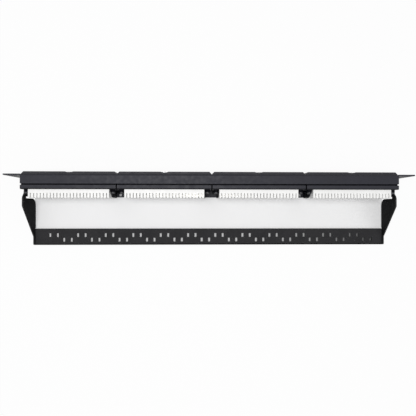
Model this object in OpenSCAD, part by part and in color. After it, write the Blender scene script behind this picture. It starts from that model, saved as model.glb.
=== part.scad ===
// Rack patch panel, one unit high, with four six-port modules and a lift-off rear cable bar.
// Millimetres. X runs along the panel, the face looks to -Y, Z is up.
// The origin is the centre of the rack slots on the rear face of the face plate.

/* [Rack face] */
// Width of the face plate over both ears
panel_w = 482.6; // [474:0.1:491]
// Height of the face plate
panel_h = 44; // [42:0.5:46]
// Width of an ear beyond the outer modules
ear_w = 19.3; // [18.4:0.1:20.2]
// Distance from the end of an ear to the middle of a rack slot
slot_edge_x = 8.75; // [8:0.05:9.5]
// Distance from the top or bottom of an ear to the middle of a rack slot
slot_edge_z = 6.125; // [5.5:0.025:7]
// Width of a rack slot
rack_slot_w = 7; // [6:0.1:8]
// Length of a rack slot
rack_slot_l = 10.5; // [9:0.1:12]
// Corner radius of the ears
ear_r = 1.5; // [1:0.5:5]

/* [Sheet metal] */
// Thickness of the steel sheet
sheet_t = 1.5; // [1.2:0.1:1.8]
// Outside radius of the folds
bend_r = 2.2; // [2:0.1:2.8]
// Depth of the top flange behind the face
top_flange_d = 11.35; // [10.5:0.05:11.8]
// Depth of the bottom flange behind the face
bottom_flange_d = 26; // [25:0.5:27.5]
// Step in from the outer modules to the folded ends
body_inset = 0.6; // [0.6:0.1:2]
// Side of the square holes in the bottom flange
flange_hole = 3; // [2:0.1:3.4]
// Distance of those holes behind the sill
flange_hole_gap = 0.5; // [0.3:0.1:1]
// Width of a bar tab beside the arm
tab_w = 4.3; // [3.5:0.1:4.4]
// Gap between a bar tab and the sill
tab_gap = 0.4; // [0.3:0.05:0.6]
// Width of the relief cut beside a bar tab
tab_relief = 0.8; // [0.6:0.1:1.2]

/* [Modules] */
// Gap between two rear housings
housing_gap = 1.2; // [0.6:0.1:2]
// Depth of a rear housing behind the plate
housing_d = 16.3; // [16:0.1:16.6]
// Wall of a rear housing above and below
housing_wall = 2.2; // [2:0.1:2.8]
// Thickness of the rear wall
rear_wall = 2; // [1.5:0.1:2.5]
// Length of the flared rim
rim_l = 4.95; // [4.6:0.05:5.4]
// Width of the groove between the top flange and the rim
groove_w = 1.9; // [1.6:0.1:2.4]
// Depth of that groove in the top wall
groove_d = 1.4; // [0.8:0.1:1.5]
// How far the rim stands out at each end
rim_flare = 1.2; // [0.8:0.1:1.8]
// Depth of the sill below the lower strip
sill_d = 3.4; // [3:0.1:3.8]
// Height of the sill
sill_h = 4; // [2:0.1:4.5]
// Thickness of the cheeks beside the ends of the strips
cheek_t = 1.5; // [1.2:0.1:1.6]
// How far a cheek stays short of the strip tips
cheek_short = 1; // [0.5:0.1:2]
// How far the top of a cheek slopes down to the rear
cheek_drop = 7.5; // [5:0.5:10]
// Chamfer at the lower rear corner of a cheek
cheek_chamfer = 3; // [1:0.5:4]

/* [Bezel] */
// Face plate left showing above and below a bezel
bezel_margin = 4; // [3:0.1:5]
// How far a bezel stands off the face plate
bezel_d = 3.1; // [3:0.1:4.2]
// Gap between two bezels
bezel_gap = 0.4; // [0.2:0.1:1]
// Chamfer on the upright front edges
bezel_chamfer = 2.7; // [1:0.1:2.8]
// Width of the finger notch over the label
finger_w = 9.4; // [6:0.1:12]
// Depth of the finger notch
finger_d = 1; // [0.6:0.1:1.4]

/* [Label] */
// Bezel left over the label recess
label_border = 1.5; // [1.2:0.1:2]
// Bottom of the label recess above the middle
label_z = 7; // [6.8:0.1:7.2]
// Depth of the label recess
label_d = 2; // [1.9:0.1:2.2]
// Thickness of the clear cover
cover_t = 1; // [0.8:0.1:1.2]
// Diameter of the hinge pins on the cover
cover_pin_d = 1.2; // [0.8:0.1:1.4]
// Length of the hinge pins
cover_pin_l = 1.2; // [0.8:0.1:1.4]
// How far the cover sits below the bezel face
cover_sunk = 0.3; // [0.2:0.05:0.4]
// Room under the hinge that lets the cover swing right over
cover_room = 0.7; // [0.6:0.05:0.9]
// Thickness of the paper card
card_t = 0.3; // [0.2:0.05:0.35]

/* [Ports] */
// Height of the port centre line
port_z = -3.5; // [-4:0.1:-3.3]
// Height of a port opening
port_h = 8.4; // [8:0.1:8.6]
// Width of the latch slot
latch_w = 6.4; // [6:0.1:7]
// Height of the latch slot
latch_h = 2.6; // [2:0.1:3]
// Gap between two port shells
shell_gap = 0.84; // [0.6:0.02:1]
// Side wall of a port shell
shell_wall = 1.2; // [0.9:0.05:1.3]
// Wall over the contact pocket
shell_roof = 1; // [0.8:0.1:1.4]
// Wall under the latch slot
shell_floor = 1.4; // [1:0.1:1.8]
// Rear wall of a port shell
shell_back = 1; // [0.8:0.1:1.2]
// Height of the contact pocket over the opening
pocket_h = 1.9; // [1.9:0.05:2.2]

/* [Port contacts] */
// Distance from one contact wire to the next
contact_pitch = 1.02; // [0.9:0.01:1.1]
// Width of a contact wire
contact_w = 0.5; // [0.4:0.01:0.6]
// Thickness of a contact wire
contact_t = 0.35; // [0.3:0.01:0.4]
// Length of the sprung part
contact_l = 9.5; // [8:0.1:9.8]
// Slope of the sprung part at rest
contact_slope = 24; // [20:0.5:26]
// Diameter of the bend a contact turns on
contact_root_d = 0.8; // [0.7:0.02:0.9]
// Distance of that bend behind the shell front
contact_y = 2.4; // [2:0.1:3]
// Height of that bend over the port opening
contact_z = 0.65; // [0.6:0.05:0.75]

/* [Boards] */
// Thickness of a circuit board
board_t = 1.6; // [1.2:0.1:1.8]
// Room over and under a board in its housing
board_room = 1; // [0.8:0.1:1.4]
// Diameter of a pin hole in the board
pin_hole_d = 1; // [0.95:0.01:1.1]
// How far a contact tail shows through the board
pin_tip = 0.6; // [0.3:0.1:0.9]

/* [Terminal strips] */
// Length of a module beyond each end of its strips
strip_room = 8.9; // [8.6:0.1:9.2]
// Plain end beyond the outer slots
strip_end = 0.88; // [0.6:0.02:1]
// Top of the upper strip above the middle
strip_top = 19.6; // [18.6:0.1:19.7]
// Space between the upper and lower strips
strip_space = 6; // [5.6:0.1:6.4]
// Depth of a strip behind its board
strip_d = 12; // [11.4:0.1:12.6]
// Width of a wire slot
slot_w = 0.95; // [0.8:0.01:1.1]
// Depth of a wire slot
slot_d = 5.5; // [5:0.1:6]
// Width of the lead-in at the mouth of a slot
mouth_w = 2; // [1.6:0.05:2.4]
// Depth of the lead-in
mouth_d = 1.1; // [0.8:0.05:1.4]

/* [Terminal clips] */
// Width of a clip over both tines
clip_w = 2.6; // [2.2:0.05:2.8]
// Thickness of a clip
clip_t = 0.5; // [0.4:0.02:0.6]
// Slit between the tines
clip_slit = 0.36; // [0.3:0.02:0.45]
// Length of the slit
clip_slit_l = 5; // [4:0.1:5.5]
// How far the tines stay below the tips of the strip
clip_sunk = 1.5; // [1.2:0.1:2]
// Shoulder of a clip above the board
clip_foot = 0.6; // [0.4:0.1:1]
// Width of a clip pin
clip_pin_w = 0.7; // [0.6:0.01:0.75]

/* [Screws] */
// Diameter of a module screw
screw_d = 3; // [2.6:0.1:3.2]
// Diameter of the screw head
screw_head_d = 5; // [4.6:0.1:5.2]
// Height of the screw head
screw_head_h = 2; // [1.6:0.1:2.4]
// Size of the cross recess in the head
drive_w = 3; // [2.4:0.1:3.4]
// Width of one arm of the recess
drive_t = 0.7; // [0.5:0.05:0.9]
// Distance of the screws below the top of the housing
screw_edge = 5.7; // [5.2:0.1:6.4]
// Bezel skin left in front of a screw
screw_skin = 1; // [0.8:0.1:1.4]
// Wall of the boss around a screw
boss_wall = 1; // [0.8:0.1:1.2]
// Diameter of the lug under a screw head
lug_d = 5.8; // [5.2:0.1:5.9]
// Length of the lug
lug_l = 3.2; // [2.6:0.1:3.4]

/* [Cable bar] */
// Width of the bar
bar_w = 20.3; // [19:0.1:21]
// Distance of the bar behind the plate
bar_y = 63.9; // [63.2:0.1:66]
// Height of the bar over the underside of the panel
bar_lift = 1; // [0.5:0.1:2]
// Gap between the nose of an arm and the rear housing
arm_gap = 2.1; // [1.8:0.05:2.4]
// Top of an arm above the middle
arm_top = 16.4; // [15.4:0.1:18]
// Rise of the arm between its step and its front edge
arm_crown = 1; // [0.6:0.1:1.6]
// Front edge of the arm plate behind the panel plate
arm_front = 26.4; // [25.9:0.1:27]
// Where the long slope of an arm begins
arm_slope_y = 36; // [34:0.1:38]
// How far the long slope runs over the bar
slope_over = 9.9; // [6:0.1:12]
// Height of the lip at the ends of the bar
arm_lip = 3; // [2.6:0.1:5]
// Chamfer at the rear of that lip
lip_chamfer = 1.5; // [1:0.1:2]
// Relief cut in the arm beside the fold
bend_relief = 1; // [0.5:0.1:2]
// Radius of the lower front corner of an arm
arm_corner_r = 9; // [6:0.5:11]
// Height of the neck of an arm
neck_h = 9.1; // [8.5:0.1:9.6]
// Bottom of the neck above the middle
neck_z = 2.5; // [2:0.1:3]
// Height of the notch that hooks over the bar tab
hook_h = 4; // [3:0.1:5]
// Width of the relief notch behind the neck
relief_w = 2.1; // [1.6:0.1:2.4]
// Height of the relief notch
relief_h = 5; // [4:0.1:6]
// Length of the step between neck and relief notch
step_l = 3.8; // [3.4:0.1:4.4]
// How far the step hangs below the neck
step_drop = 0.9; // [0.4:0.1:1.4]

/* [Tie slots] */
// Distance from an arm to the middle of the first pair
tie_end = 20.95; // [18:0.05:24]
// Spacing of the two slots of a pair
tie_pair = 9.4; // [8.6:0.1:10]
// Width of a tie slot
tie_w = 2.6; // [2.2:0.1:3.4]
// Length of a tie slot
tie_l = 4.8; // [4.4:0.1:5.4]
// Distance between the two staggered rows
tie_rows = 5.8; // [5.4:0.1:6.4]
// How far the rows sit behind the middle of the bar
tie_back = 1; // [0:0.1:1.4]
// How far the slot pattern sits to one side of the middle
tie_aside = 1.9; // [0:0.1:2.5]

/* [Clearances] */
// Gap around parts that slip into one another
slip = 0.3; // [0.2:0.05:0.35]
// Gap around small pins and clips
fine = 0.1; // [0.08:0.01:0.12]
// Gap around turning pins
running = 0.05; // [0.03:0.01:0.08]

/* [Hidden] */
$fn = 48;
modules = 4;
ports = 6;
wires = 8;
rows = 2;
tie_pairs = 24;
past = 1;
slots = ports * wires / rows;
module_pitch = (panel_w - 2 * ear_w) / modules;
mid_z = panel_h / 2;
rack_x = panel_w / 2 - slot_edge_x;
rack_z = mid_z - slot_edge_z;
body_x = modules * module_pitch / 2 - body_inset;
face_y = -sheet_t;
bezel_y = face_y - bezel_d;
bezel_w = module_pitch - bezel_gap;
bezel_h = panel_h - 2 * bezel_margin;
rim_w = module_pitch - housing_gap;
housing_w = rim_w - 2 * rim_flare;
housing_h = panel_h - 2 * sheet_t - 2 * slip;
sill_rear = housing_d + sill_d;
strip_w = module_pitch - 2 * strip_room;
wire_pitch = (strip_w - 2 * strip_end) / slots;
port_pitch = wire_pitch * wires / rows;
cavity_w = strip_w + 2 * slip;
cavity_h = housing_h - 2 * housing_wall;
board_h = cavity_h - 2 * board_room;
board_rear = housing_d - rear_wall;
board_front = board_rear - board_t;
strip_rear = board_rear + strip_d;
strip_foot = sill_h + 2 * slip - housing_h / 2;
strip_h = (strip_top - strip_foot - strip_space) / 2;
strip_mid = (strip_top + strip_foot) / 2;
strip_z = (strip_space + strip_h) / 2;
screw_x = (cavity_w + housing_w) / 4;
screw_z = housing_h / 2 - screw_edge;
boss_d = screw_d + 2 * boss_wall;
lug_rear = housing_d + lug_l;
cheek_top = screw_z - lug_d / 2;
cheek_rear = strip_rear - cheek_short;
opening_top = port_z + port_h / 2;
opening_bottom = port_z - port_h / 2;
shell_w = port_pitch - shell_gap;
port_w = shell_w - 2 * shell_wall;
shell_top = opening_top + pocket_h + shell_roof;
shell_bottom = opening_bottom - latch_h - shell_floor;
shell_front = face_y + fine;
pocket_w = (wires - 1) * contact_pitch + contact_w + 2 * slip;
root_y = shell_front + contact_y;
root_z = opening_top + contact_z;
hoop_r = contact_root_d / 2 + fine;
tail_z = root_z + hoop_r;
label_w = strip_w;
label_top = bezel_h / 2 - label_border;
label_floor = bezel_y + label_d;
cover_w = label_w - 2 * slip;
cover_y = bezel_y + cover_sunk + cover_t / 2;
pivot_z = label_z + cover_room + cover_t / 2;
clip_tip = strip_rear - clip_sunk;
clip_body = board_rear + clip_foot;
arm_out = (modules * module_pitch - housing_gap) / 2;
arm_x = arm_out - sheet_t;
bar_bottom = -mid_z + bar_lift;
bar_top = bar_bottom + sheet_t;
bar_rear = bar_y + bar_w;
hook_z = neck_z + hook_h;
neck_top = neck_z + neck_h;
nose_y = housing_d + arm_gap;
tab_front = sill_rear + tab_gap;
tab_rear = tab_front + sheet_t;
tab_x = arm_x - fine - tab_w;
tab_leg = 2 * bend_r;
relief_y = arm_front - relief_w;
step_y = relief_y - step_l;
tie_y = bar_y + bar_w / 2 + tie_back;
tie_pitch = 2 * (arm_x - tie_end) / (tie_pairs - 1);

function module_x(m) = (m - (modules + 1) / 2) * module_pitch;
function port_dx(k) = (k - (ports + 1) / 2) * port_pitch;
function port_x(p) = module_x(ceil(p / ports)) + port_dx((p - 1) % ports + 1);
function numbered(p) = str("contacts_", p < 10 ? "0" : "", p);
function slot_x(s) = (s - (slots + 1) / 2) * wire_pitch;
function wire_x(w) = (w - (wires + 1) / 2) * contact_pitch;

each_module = [for (m = [1 : modules]) m];

// A box given by its near and far corners
module block(a, b) {
    translate(a) cube(b - a);
}

// A round bar along X
module rod_x(d, l) {
    rotate([0, 90, 0]) cylinder(d = d, h = l, center = true);
}

// A round bar along Y that starts at the origin
module rod_y(d, l) {
    rotate([-90, 0, 0]) cylinder(d = d, h = l);
}

// An outline drawn in Y and Z, given a thickness along X
module side_plate(x, t) {
    translate([x, 0, 0]) rotate([90, 0, 90]) linear_extrude(t) children();
}

// Section of a right-angle fold: the corner sits at the origin, legs run to +X and +Y
module fold(leg_x, leg_y) {
    translate([bend_r, 0]) square([leg_x - bend_r, sheet_t]);
    translate([0, bend_r]) square([sheet_t, leg_y - bend_r]);
    difference() {
        intersection() {
            translate([bend_r, bend_r]) circle(bend_r);
            square(bend_r);
        }
        translate([bend_r, bend_r]) circle(bend_r - sheet_t);
    }
}

// Folded face plate and flanges between the ears
module channel() {
    side_plate(-body_x, 2 * body_x) {
        translate([face_y, -mid_z]) fold(bottom_flange_d, mid_z);
        translate([face_y, mid_z]) mirror([0, 1]) fold(top_flange_d, mid_z);
    }
}

// One flat rack ear, right side
module ear() {
    w = panel_w / 2 - body_x;
    translate([body_x, 0, 0]) rotate([90, 0, 0]) linear_extrude(sheet_t) {
        translate([0, -mid_z]) square([w - ear_r, panel_h]);
        translate([0, ear_r - mid_z]) square([w, panel_h - 2 * ear_r]);
        for (s = [-1, 1]) translate([w - ear_r, s * (mid_z - ear_r)]) circle(ear_r);
    }
}

// Corner cut out of the bottom flange where the right bar tab is folded up
module tab_cut() {
    block([tab_x - tab_relief, tab_rear - tab_leg, -mid_z - past],
          [body_x + past, bottom_flange_d + past, sheet_t + past - mid_z]);
}

// Section of a bar tab up to the given height
module tab_section(top) {
    translate([tab_rear, -mid_z]) mirror([1, 0]) fold(tab_leg, mid_z + top);
}

// Right bar tab: a shoulder beside the arm and a lower step under its hook
module bar_tab() {
    side_plate(tab_x, tab_w) tab_section(neck_top);
    side_plate(arm_x - fine, sheet_t + 2 * fine) tab_section(hook_z - fine);
}

// A rack slot through the right ear
module rack_slot() {
    run = (rack_slot_l - rack_slot_w) / 2;
    for (s = [-1, 1]) translate([s * run, face_y - past, 0]) rod_y(rack_slot_w, sheet_t + 2 * past);
    block([-run, face_y - past, -rack_slot_w / 2], [run, past, rack_slot_w / 2]);
}

// Folded steel frame: face plate, ears, flanges and bar tabs
module panel_frame() {
    window_w = (ports - 1) * port_pitch + shell_w + 2 * slip;
    color("#303136") difference() {
        union() {
            difference() {
                channel();
                for (s = [0, 1]) mirror([s, 0, 0]) tab_cut();
            }
            for (s = [0, 1]) mirror([s, 0, 0]) {
                ear();
                bar_tab();
            }
        }
        for (x = [-1, 1], z = [-1, 1]) translate([x * rack_x, 0, z * rack_z]) rack_slot();
        for (m = each_module) translate([module_x(m), 0, 0]) {
            block([-window_w / 2, face_y - past, shell_bottom - slip],
                  [window_w / 2, past, shell_top + slip]);
            for (s = [-1, 1]) translate([s * screw_x, face_y - past, screw_z])
                rod_y(boss_d + 2 * slip, sheet_t + 2 * past);
        }
        for (s = [-1, 1]) translate([s * (module_pitch + flange_hole), sill_rear + flange_hole_gap, -mid_z])
            block([-flange_hole / 2, 0, -past], [flange_hole / 2, flange_hole, sheet_t + past]);
    }
}

// Front opening of one port with its latch slot, cut along Y
module port_cut(y0, y1) {
    block([-port_w / 2, y0, opening_bottom], [port_w / 2, y1, opening_top]);
    block([-latch_w / 2, y0, opening_bottom - latch_h], [latch_w / 2, y1, port_z]);
}

// Front bezel of one module
module bezel(m) {
    half = bezel_w / 2;
    finger_r = (finger_w * finger_w / 4 + finger_d * finger_d) / (2 * finger_d);
    hinge_l = cover_w + 2 * cover_pin_l + 2 * slip;
    color("#26272b") translate([module_x(m), 0, 0]) difference() {
        union() {
            translate([0, 0, -bezel_h / 2]) linear_extrude(bezel_h) polygon([
                [-half, face_y],
                [-half, bezel_y + bezel_chamfer],
                [-half + bezel_chamfer, bezel_y],
                [half - bezel_chamfer, bezel_y],
                [half, bezel_y + bezel_chamfer],
                [half, face_y]
            ]);
            for (s = [-1, 1]) translate([s * screw_x, face_y, screw_z]) rod_y(boss_d, sheet_t);
        }
        for (k = [1 : ports]) translate([port_dx(k), 0, 0]) port_cut(bezel_y - past, 0);
        block([-label_w / 2, bezel_y - past, label_z], [label_w / 2, label_floor, label_top]);
        translate([0, cover_y, pivot_z]) rod_x(cover_pin_d + 2 * running, hinge_l);
        translate([0, bezel_y + finger_d - finger_r, pivot_z]) cylinder(r = finger_r, h = bezel_h);
        for (s = [-1, 1]) translate([s * screw_x, bezel_y + screw_skin, screw_z])
            rod_y(screw_d + 2 * running, bezel_d + sheet_t);
    }
}

// Side view of the cheeks that guard the ends of the strips
module cheek_outline() {
    bottom = -housing_h / 2;
    polygon([
        [housing_d - past, bottom],
        [cheek_rear - cheek_chamfer, bottom],
        [cheek_rear, bottom + cheek_chamfer],
        [cheek_rear, cheek_top - cheek_drop],
        [lug_rear, cheek_top],
        [housing_d - past, cheek_top]
    ]);
}

// Rear housing of one module, its rim level with the top flange
module rear_housing(m) {
    top = housing_h / 2;
    rim_y = housing_d - rim_l;
    color("#2c2d31") translate([module_x(m), 0, 0]) difference() {
        union() {
            block([-housing_w / 2, 0, -top], [housing_w / 2, housing_d, top]);
            block([-rim_w / 2, rim_y - groove_w, -top], [rim_w / 2, housing_d, top]);
            block([-rim_w / 2, rim_y, top - past], [rim_w / 2, housing_d, mid_z]);
            block([-housing_w / 2, rim_y, -top], [housing_w / 2, sill_rear, sill_h - top]);
            for (s = [-1, 1]) translate([s * screw_x, housing_d - past, screw_z]) rod_y(lug_d, lug_l + past);
            for (s = [0, 1]) mirror([s, 0, 0]) side_plate(cavity_w / 2, cheek_t) cheek_outline();
        }
        block([-rim_w / 2 - past, rim_y - groove_w, top - groove_d],
              [rim_w / 2 + past, rim_y, top + past]);
        block([-cavity_w / 2, -past, -cavity_h / 2], [cavity_w / 2, board_rear, cavity_h / 2]);
        block([-cavity_w / 2, board_rear - slip, strip_foot - slip],
              [cavity_w / 2, housing_d + past, strip_top + slip]);
        for (s = [-1, 1]) translate([s * screw_x, -past, screw_z])
            rod_y(screw_d + 2 * fine, lug_rear + 2 * past);
    }
}

// One pan-head screw with a cross recess
module module_screw() {
    tip = bezel_y + screw_skin + fine;
    difference() {
        union() {
            translate([0, tip, 0]) rod_y(screw_d, lug_rear - tip);
            translate([0, lug_rear, 0]) rod_y(screw_head_d, screw_head_h);
        }
        for (a = [0, 90]) translate([0, lug_rear + screw_head_h, 0]) rotate([0, a, 0])
            cube([drive_w, screw_head_h, drive_t], center = true);
    }
}

// Screws that pull each bezel and rear housing together on the face plate
module module_screws() {
    color("#4a4b50") for (m = each_module, s = [-1, 1])
        translate([module_x(m) + s * screw_x, 0, screw_z]) module_screw();
}

// Circuit board of one module with its pin holes
module circuit_board(m) {
    color("#1d6b3c") translate([module_x(m), 0, 0]) difference() {
        block([fine - strip_w / 2, board_front, -board_h / 2],
              [strip_w / 2 - fine, board_rear, board_h / 2]);
        for (s = [1 : slots], z = [-1, 1])
            translate([slot_x(s), board_front - past, strip_mid + z * strip_z])
                rod_y(pin_hole_d, board_t + 2 * past);
        for (k = [1 : ports], w = [1 : wires])
            translate([port_dx(k) + wire_x(w), board_front - past, tail_z + contact_t / 2])
                rod_y(contact_w + contact_t, board_t + 2 * past);
    }
}

// One port shell, open to the front, with a pocket for the contacts
module jack_shell() {
    shell_rear = board_front;
    difference() {
        block([-shell_w / 2, shell_front, shell_bottom], [shell_w / 2, shell_rear, shell_top]);
        port_cut(shell_front - past, shell_rear - shell_back);
        block([-pocket_w / 2, shell_front + shell_back, port_z],
              [pocket_w / 2, shell_rear - shell_back, opening_top + pocket_h]);
        block([-pocket_w / 2, shell_rear - 2 * shell_back, tail_z - fine],
              [pocket_w / 2, shell_rear + past, tail_z + contact_t + fine]);
    }
}

// Six port shells of one module
module jack_shells(m) {
    color("#3a3b40") for (k = [1 : ports]) translate([module_x(m) + port_dx(k), 0, 0]) jack_shell();
}

// One white terminal strip, drawn from above and raised to its height
module strip(m, z) {
    half = strip_w / 2;
    root = strip_rear - slot_d;
    lead = strip_rear - mouth_d;
    teeth = [for (s = [1 : slots]) each [
        [slot_x(s) - mouth_w / 2, strip_rear],
        [slot_x(s) - slot_w / 2, lead],
        [slot_x(s) - slot_w / 2, root],
        [slot_x(s) + slot_w / 2, root],
        [slot_x(s) + slot_w / 2, lead],
        [slot_x(s) + mouth_w / 2, strip_rear]
    ]];
    color("#f2f1ec") translate([module_x(m), 0, z - strip_h / 2]) difference() {
        linear_extrude(strip_h) polygon(concat(
            [[half, board_rear], [-half, board_rear], [-half, strip_rear]],
            teeth,
            [[half, strip_rear]]
        ));
        for (s = [1 : slots]) translate([slot_x(s), 0, strip_h / 2])
            block([-clip_w / 2 - fine, board_rear - past, -clip_t / 2 - fine],
                  [clip_w / 2 + fine, clip_tip + fine, clip_t / 2 + fine]);
    }
}

// One forked terminal clip with its board pin
module clip() {
    slit_y = clip_tip - clip_slit_l;
    pin_y = board_front + fine;
    translate([0, 0, -clip_t / 2]) linear_extrude(clip_t) polygon([
        [-clip_pin_w / 2, pin_y],
        [clip_pin_w / 2, pin_y],
        [clip_pin_w / 2, clip_body],
        [clip_w / 2, clip_body],
        [clip_w / 2, clip_tip],
        [clip_slit / 2, clip_tip],
        [clip_slit / 2, slit_y],
        [-clip_slit / 2, slit_y],
        [-clip_slit / 2, clip_tip],
        [-clip_w / 2, clip_tip],
        [-clip_w / 2, clip_body],
        [-clip_pin_w / 2, clip_body]
    ]);
}

// Fixed tail of one port contact, with the hoop that holds the sprung bend
module tail() {
    side_plate(-contact_w / 2, contact_w) {
        translate([root_y, tail_z]) square([board_rear + pin_tip - root_y, contact_t]);
        difference() {
            translate([root_y, root_z]) circle(hoop_r + contact_t);
            translate([root_y, root_z]) circle(hoop_r);
            translate([root_y, root_z - contact_root_d * 2]) square(contact_root_d * 4);
        }
    }
}

// Terminal clips and fixed contact tails of one module
module board_contacts(m) {
    color("#c9a24a") translate([module_x(m), 0, 0]) {
        for (s = [1 : slots], z = [-1, 1]) translate([slot_x(s), 0, strip_mid + z * strip_z]) clip();
        for (k = [1 : ports], w = [1 : wires]) translate([port_dx(k) + wire_x(w), 0, 0]) tail();
    }
}

// Sprung contact wires of one port
module contacts(p) {
    color("#d8b04c") for (w = [1 : wires])
        translate([port_x(p) + wire_x(w), root_y, root_z]) rotate([-contact_slope, 0, 0]) {
            rod_x(contact_root_d, contact_w);
            block([-contact_w / 2, 0, -contact_t / 2], [contact_w / 2, contact_l, contact_t / 2]);
        }
}

// Clear cover over the label, hinged along its lower edge
module label_cover(m) {
    color("#cfe0e8", 0.45) translate([module_x(m), cover_y, pivot_z]) {
        rod_x(cover_t, cover_w);
        rod_x(cover_pin_d, cover_w + 2 * cover_pin_l);
        block([-cover_w / 2, -cover_t / 2, 0], [cover_w / 2, cover_t / 2, label_top - slip - pivot_z]);
    }
}

// Paper cards behind the covers
module label_cards() {
    color("#f7f5ee") for (m = each_module) translate([module_x(m), 0, 0])
        block([slip - label_w / 2, label_floor - card_t, label_z + slip],
              [label_w / 2 - slip, label_floor, label_top - slip]);
}

// Outline of one arm in Y and Z: hook, neck, step, relief notch, plate and lip
module arm_outline() {
    lip_top = bar_top + arm_lip;
    crown_z = arm_top - arm_crown;
    difference() {
        polygon([
            [nose_y, neck_z],
            [nose_y, neck_top],
            [step_y, neck_top],
            [step_y + crown_z - neck_top, crown_z],
            [arm_front, arm_top],
            [arm_slope_y, arm_top],
            [bar_y + slope_over, lip_top],
            [bar_rear - lip_chamfer, lip_top],
            [bar_rear, lip_top - lip_chamfer],
            [bar_rear, bar_bottom + bend_r],
            [bar_y, bar_bottom + bend_r],
            [bar_y - bend_relief, bar_bottom],
            [arm_front + arm_corner_r, bar_bottom],
            [arm_front + arm_corner_r, bar_bottom + arm_corner_r],
            [arm_front, bar_bottom + arm_corner_r],
            [arm_front, neck_z + relief_h],
            [relief_y, neck_z + relief_h],
            [relief_y, neck_z - step_drop],
            [step_y, neck_z]
        ]);
        translate([tab_front - fine, neck_z - step_drop]) square([sheet_t + 2 * fine, step_drop + hook_h]);
    }
    intersection() {
        translate([arm_front + arm_corner_r, bar_bottom + arm_corner_r]) circle(arm_corner_r);
        translate([arm_front, bar_bottom]) square(arm_corner_r);
    }
}

// Bent steel cable bar with its two arms and staggered pairs of tie slots
module cable_bar() {
    color("#232428") difference() {
        union() {
            for (s = [0, 1]) mirror([s, 0, 0]) {
                side_plate(arm_x, sheet_t) arm_outline();
                translate([arm_out, bar_rear, bar_bottom]) rotate([90, 0, 0]) linear_extrude(bar_w)
                    mirror([1, 0]) fold(arm_out, sheet_t + arm_lip - lip_chamfer);
            }
        }
        for (i = [0 : tie_pairs - 1], s = [-1, 1])
            translate([((tie_pairs - 1) / 2 - i) * tie_pitch + s * tie_pair / 2 - tie_aside,
                       tie_y + (i % 2 - 0.5) * tie_rows, bar_bottom])
                cube([tie_w, tie_l, 4 * sheet_t], center = true);
    }
}

panel_frame();
cable_bar();
label_cards();
module_screws();
for (m = each_module) {
    bezel(m);
    rear_housing(m);
    circuit_board(m);
    jack_shells(m);
    strip(m, strip_mid + strip_z);
    strip(m, strip_mid - strip_z);
    board_contacts(m);
    label_cover(m);
}
for (p = [1 : modules * ports]) {
    contacts(p);
}
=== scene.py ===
"""Looks of a rack patch panel with a lift-off cable bar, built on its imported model."""
from contextlib import contextmanager
from math import radians

import bmesh
import bpy
from bpy.props import FloatProperty, FloatVectorProperty, PointerProperty
from bpy.types import Operator, Panel, PropertyGroup
from mathutils import Matrix, Vector


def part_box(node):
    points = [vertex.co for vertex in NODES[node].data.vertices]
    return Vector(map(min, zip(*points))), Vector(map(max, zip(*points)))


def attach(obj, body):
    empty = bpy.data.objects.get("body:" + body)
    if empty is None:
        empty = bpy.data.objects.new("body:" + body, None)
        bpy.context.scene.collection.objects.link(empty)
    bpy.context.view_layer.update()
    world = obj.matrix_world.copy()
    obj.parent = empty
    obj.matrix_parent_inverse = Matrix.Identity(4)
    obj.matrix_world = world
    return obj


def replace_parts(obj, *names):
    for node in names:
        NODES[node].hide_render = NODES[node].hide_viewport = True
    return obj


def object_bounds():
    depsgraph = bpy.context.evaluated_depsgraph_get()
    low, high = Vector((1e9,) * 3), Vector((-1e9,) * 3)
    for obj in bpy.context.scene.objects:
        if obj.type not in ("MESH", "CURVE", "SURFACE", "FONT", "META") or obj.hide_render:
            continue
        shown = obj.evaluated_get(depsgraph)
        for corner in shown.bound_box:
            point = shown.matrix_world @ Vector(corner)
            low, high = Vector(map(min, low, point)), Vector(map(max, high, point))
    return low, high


bl_info = {
    "name": "Patch panel looks",
    "version": (1, 0, 0),
    "blender": (4, 5, 0),
    "location": "View3D > Sidebar > Patch panel",
    "description": "Finishes and small pieces for a rack patch panel with a cable bar",
    "category": "Object",
}

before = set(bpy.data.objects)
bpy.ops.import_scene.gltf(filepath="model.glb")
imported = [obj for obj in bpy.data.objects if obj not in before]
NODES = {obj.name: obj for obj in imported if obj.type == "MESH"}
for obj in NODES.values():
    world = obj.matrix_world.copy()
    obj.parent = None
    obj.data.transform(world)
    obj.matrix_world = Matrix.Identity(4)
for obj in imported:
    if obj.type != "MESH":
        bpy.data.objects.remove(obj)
CAD_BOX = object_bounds()
MM = 0.001
MODULES = range(1, 5)
PORTS = range(1, 25)
PORTS_PER_MODULE = 6
WIRES = 8
BODY = "panel"

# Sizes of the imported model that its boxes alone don't give
SHEET = 1.5 * MM            # thickness of the folded steel
BAR_WIDTH = 20.3 * MM       # front edge to rear edge of the cable bar
REAR_WALL = 2.0 * MM        # wall of a housing behind its board
PORT_PITCH = 15.24 * MM
CONTACT_PITCH = 1.02 * MM
WIRE_PITCH = 3.81 * MM      # spacing of the slots in a terminal strip
TAIL_Z = 2.025 * MM         # height of the contact tails above the middle of the panel
SCREW_HEAD_H = 2.0 * MM
SCREW_SHANK_R = 1.5 * MM

# Sizes of the small pieces that aren't worth a property
GUIDE_DEPTH = 0.15 * MM     # thickness of the colour guide
RECESS_WIDTH = 0.62 * MM    # width of one arm of the driver recess
RECESS_RISE = 1.5 * MM      # how far its cutter stands above the crown
RECESS_SINK = 0.6 * MM      # middle of the recess below the crown of a screw
DIGIT_SHARE = 0.7           # height of a digit as a share of the font size
RULED_SHARE = 0.72          # ruled height of a label card
RIM_SHADE_DEPTH = 0.6 * MM      # depth below the rims under which the housing is painted in shade

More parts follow.
